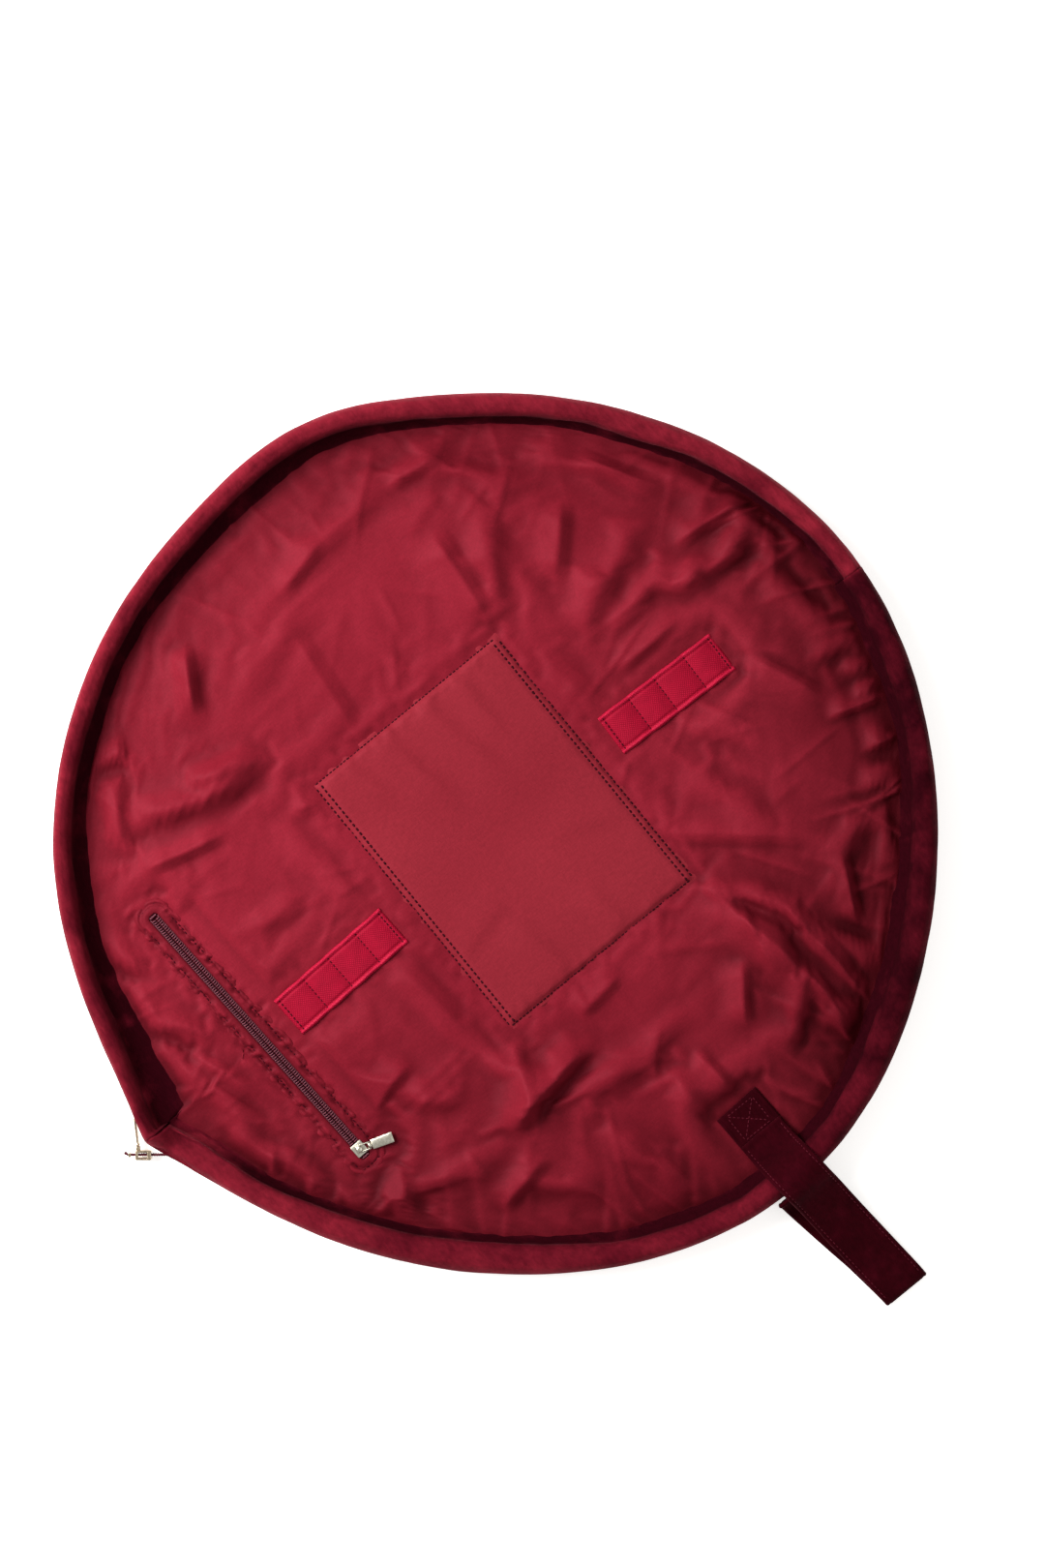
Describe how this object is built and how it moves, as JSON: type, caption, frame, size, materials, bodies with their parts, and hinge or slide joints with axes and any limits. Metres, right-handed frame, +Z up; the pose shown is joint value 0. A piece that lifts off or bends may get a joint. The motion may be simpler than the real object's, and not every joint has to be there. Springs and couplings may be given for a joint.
{
  "type": "open-flat zip bag",
  "caption": "Round velvet bag opened flat, with a rolled rim, satin lining, stiffened centre panel, elastic strips, zipped inner pocket and a carry loop.",
  "frame": {"origin": "on the floor under the middle of the centre panel, on the flat underside of the velvet base", "axes": "+Z up out of the open bag; +X along the fold axis from the zip-end corner towards the side seam; the carry loop points to -Y"},
  "size_m": [0.5501, 0.6196, 0.0305],
  "materials": {
    "velvet": "short-pile velvet with sheen",
    "strap_velvet": "short-pile velvet, darker nap",
    "filling": "soft white wadding",
    "board": "matt board",
    "satin": "smooth satin weave",
    "elastic": "ribbed elastic webbing",
    "zip_tape": "woven zip tape",
    "zip_coil": "nylon coil",
    "satin_metal": "satin pale nickel",
    "bright_metal": "polished pale gold"
  },
  "bodies": {
    "bag": {"shell_base": "velvet", "rim_band_upper": "velvet", "rim_band_lower": "velvet", "rim_filler_upper": "filling", "rim_filler_lower": "filling", "wadding": "filling", "lining": "satin", "base_stiffener": "board", "centre_panel": "satin", "elastic_strip_upper": "elastic", "elastic_strip_lower": "elastic", "pocket_bag": "satin", "pocket_tape_near": "zip_tape", "pocket_tape_far": "zip_tape", "pocket_coil_near": "zip_coil", "pocket_coil_far": "zip_coil", "pocket_stop_lower": "zip_coil", "pocket_stop_upper": "zip_coil", "closure_tape_upper": "zip_tape", "closure_tape_lower": "zip_tape", "closure_coil_upper": "zip_coil", "closure_coil_lower": "zip_coil", "closure_tail": "zip_tape", "closure_stop": "bright_metal", "loop_inner_tab": "strap_velvet", "loop_outer_tab": "strap_velvet"},
    "pocket_slider": {"pocket_slider": "satin_metal"},
    "pocket_ring": {"pocket_ring": "satin_metal"},
    "pocket_pull": {"pocket_pull": "satin_metal"},
    "closure_slider": {"closure_slider": "bright_metal"},
    "closure_pull": {"closure_pull": "bright_metal"},
    "carry_loop": {"carry_loop": "strap_velvet"}
  },
  "joints": [
    {"name": "pocket_zip_slide", "type": "slide", "parent": "bag", "child": "pocket_slider", "axis": [-0.0419, 0.9991, 0], "range_m": [0, 0.165]},
    {"name": "pocket_ring_swivel", "type": "hinge", "parent": "pocket_slider", "child": "pocket_ring", "pos_m": [-0.18232, -0.08992, 0.00795], "axis": [0, 0, 1], "range_deg": [-150, 150]},
    {"name": "pocket_pull_tip", "type": "hinge", "parent": "pocket_ring", "child": "pocket_pull", "pos_m": [-0.17598, -0.0921, 0.00795], "axis": [-0.3256, -0.9455, 0], "range_deg": [0, 110]},
    {"name": "closure_zip_slide", "type": "slide", "parent": "bag", "child": "closure_slider", "axis": [-0.7738, 0.6334, 0], "range_m": [0, 0.0025]},
    {"name": "closure_pull_swing", "type": "hinge", "parent": "closure_slider", "child": "closure_pull", "pos_m": [-0.28097, -0.00622, 0.0055], "axis": [0, 0, 1], "range_deg": [0, 85]},
    {"name": "carry_loop_lift", "type": "hinge", "parent": "bag", "child": "carry_loop", "pos_m": [0.009, -0.26794, 0.029], "axis": [-1, 0, 0], "range_deg": [0, 75]}
  ]
}
